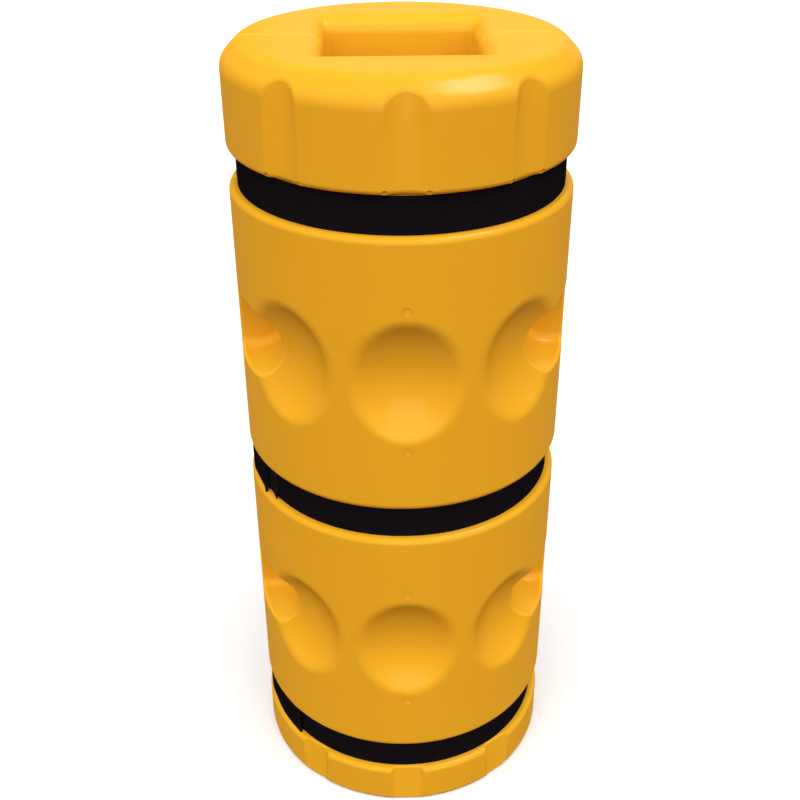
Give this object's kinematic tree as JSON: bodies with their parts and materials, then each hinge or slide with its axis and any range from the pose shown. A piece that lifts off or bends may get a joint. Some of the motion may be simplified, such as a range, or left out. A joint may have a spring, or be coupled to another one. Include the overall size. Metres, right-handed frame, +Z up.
{
  "type": "post protector",
  "caption": "Hollow moulded plastic guard in halves that straps round a square post, with dished sides, strap grooves and a fluted cap and base.",
  "frame": {"origin": "on the axis of the post, at floor level", "axes": "+Z up the post; -Y towards the front half, which is the side the picture shows; +X to its right, the side the front half swings open on"},
  "size_m": [0.43, 0.43, 1.07],
  "materials": {
    "moulded_plastic": "satin moulded polyethylene, safety yellow",
    "plug_plastic": "satin, as the moulding",
    "webbing": "woven black webbing",
    "loop_tape": "napped black loop tape",
    "hook_tape": "black hook tape"
  },
  "bodies": {
    "rear": {"rear_half": "moulded_plastic", "rear_vent_plugs": "plug_plastic", "top_strap_rear_run": "webbing", "top_strap_loop_panel": "loop_tape", "middle_strap_rear_run": "webbing", "bottom_strap_rear_run": "webbing"},
    "front": {"front_half": "moulded_plastic", "front_vent_plugs": "plug_plastic", "top_strap_front_run": "webbing", "middle_strap_front_run": "webbing", "middle_strap_loop_panel": "loop_tape", "bottom_strap_front_run": "webbing", "bottom_strap_loop_panel": "loop_tape"},
    "top_tail": {"top_strap_tail": "webbing", "top_strap_hook_panel": "hook_tape"},
    "middle_tail": {"middle_strap_tail": "webbing", "middle_strap_hook_panel": "hook_tape"},
    "bottom_tail": {"bottom_strap_tail": "webbing", "bottom_strap_hook_panel": "hook_tape"}
  },
  "joints": [
    {"name": "front_swing", "type": "hinge", "parent": "rear", "child": "front", "pos_m": [0.215, 0, 0.535], "axis": [0, 0, 1], "range_deg": [0, 80]},
    {"name": "top_tail_peel", "type": "hinge", "parent": "front", "child": "top_tail", "pos_m": [-0.2088, 0, 0.9208], "axis": [0, 0, 1], "range_deg": [0, 177]},
    {"name": "middle_tail_peel", "type": "hinge", "parent": "rear", "child": "middle_tail", "pos_m": [-0.2088, 0, 0.5082], "axis": [0, 0, 1], "range_deg": [-101, 0]},
    {"name": "bottom_tail_peel", "type": "hinge", "parent": "rear", "child": "bottom_tail", "pos_m": [-0.2088, 0, 0.0852], "axis": [0, 0, 1], "range_deg": [-101, 0]}
  ],
  "couplings": [
    {"joint": "top_tail_peel", "follows": "front_swing", "ratio": 2.2},
    {"joint": "middle_tail_peel", "follows": "front_swing", "ratio": -1.25},
    {"joint": "bottom_tail_peel", "follows": "front_swing", "ratio": -1.25}
  ]
}
